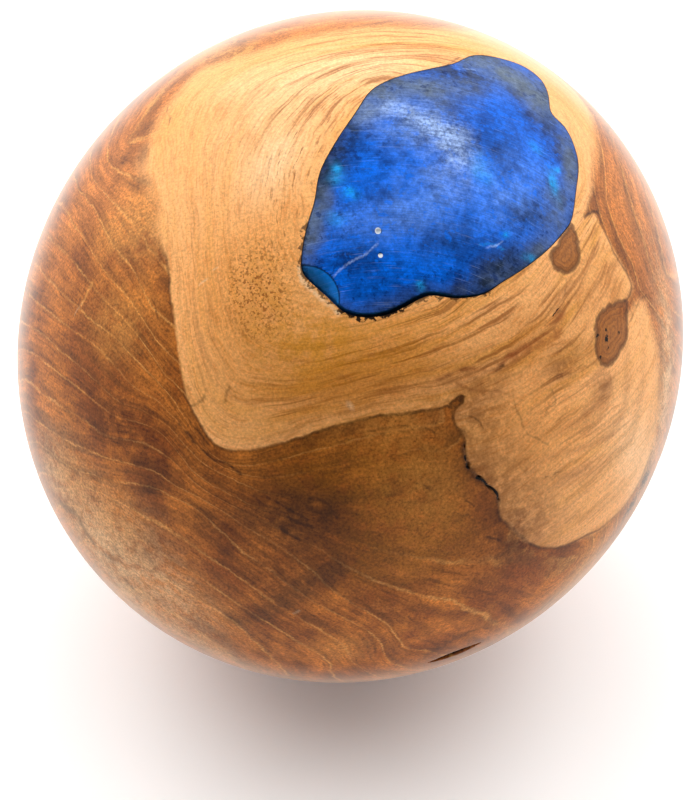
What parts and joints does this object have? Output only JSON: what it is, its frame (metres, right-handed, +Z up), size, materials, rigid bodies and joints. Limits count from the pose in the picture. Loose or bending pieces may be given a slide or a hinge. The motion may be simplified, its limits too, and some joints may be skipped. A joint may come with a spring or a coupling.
{
  "type": "wooden ball with resin inlay",
  "caption": "Turned root-wood ball, slightly oval, with a natural hollow in its side filled flush with blue cast resin; a desk ornament or paperweight.",
  "frame": {"origin": "centre of the ball", "axes": "+Z up as the ball stands in the picture, -Y towards the viewer, +X to the viewer's right"},
  "size_m": [0.0996, 0.099, 0.0994],
  "materials": {
    "root_wood": "oiled and rubbed to a satin gloss, pale sapwood and red-brown heartwood",
    "blue_resin": "cloudy blue cast resin, sanded flush and rubbed to a satin gloss"
  },
  "bodies": {
    "root": {"wooden_ball": "root_wood", "resin_inlay": "blue_resin"}
  },
  "joints": []
}
